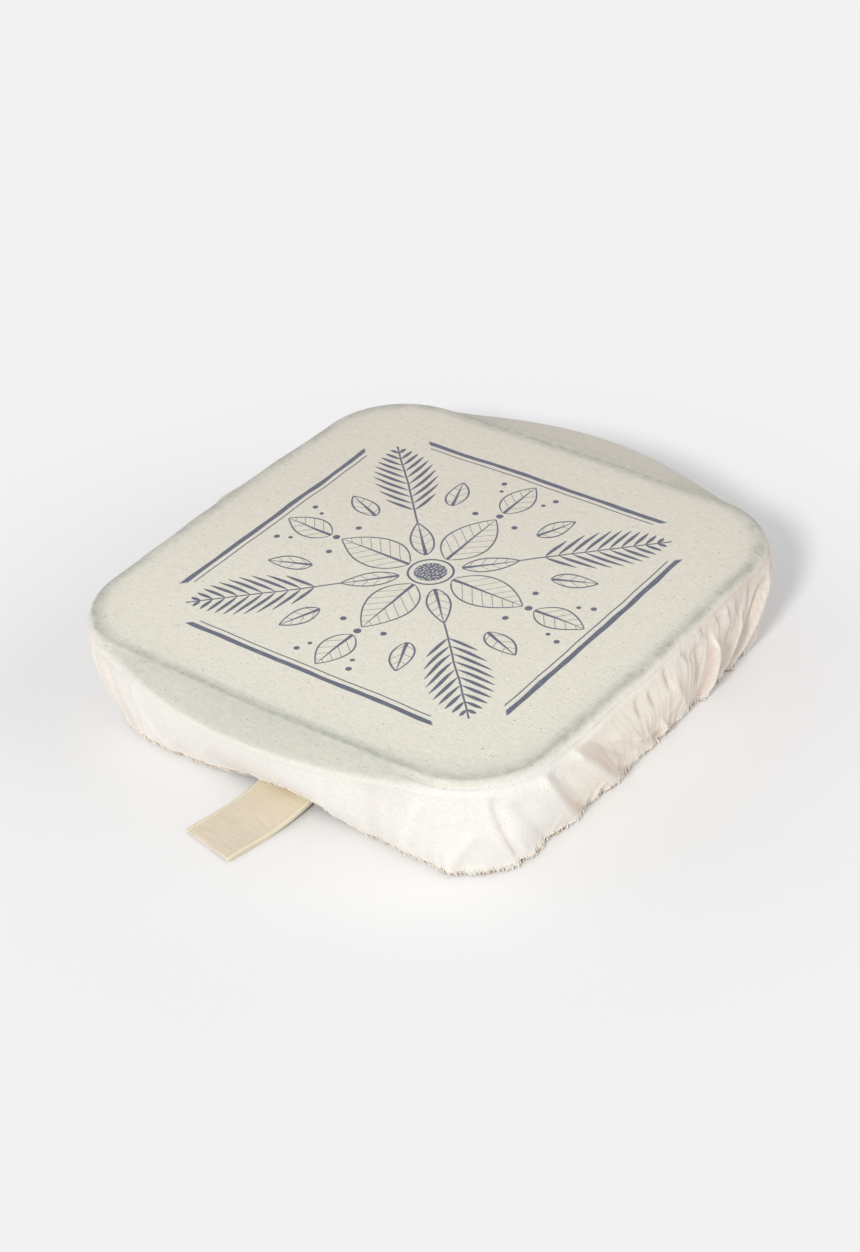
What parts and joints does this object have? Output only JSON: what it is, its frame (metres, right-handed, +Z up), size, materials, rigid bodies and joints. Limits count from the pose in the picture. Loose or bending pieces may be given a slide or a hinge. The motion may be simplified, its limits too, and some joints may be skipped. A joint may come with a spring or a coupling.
{
  "type": "fabric bowl cover",
  "caption": "Elasticated cotton cover for a square baking dish with lug handles: flat top, gathered skirt, turned hem round a flat elastic, and a folded side label.",
  "frame": {"origin": "middle of the underside of the whole part, on the plane that the hem and the label stand on", "axes": "+Z up from the hem to the flat top; -Y towards the side with the label; the two lugs lie along -Y and +Y; +X to the right seen from the label side"},
  "size_m": [0.2334, 0.275, 0.0538],
  "materials": {
    "natural_cotton": "plain woven unbleached cotton, flecked, with a slate blue print on the top",
    "elastic_white": "braided flat elastic",
    "label_ribbon": "folded twill ribbon, cream"
  },
  "bodies": {
    "root": {"cover_cloth": "natural_cotton", "hem_elastic": "elastic_white", "side_label": "label_ribbon"}
  },
  "joints": []
}
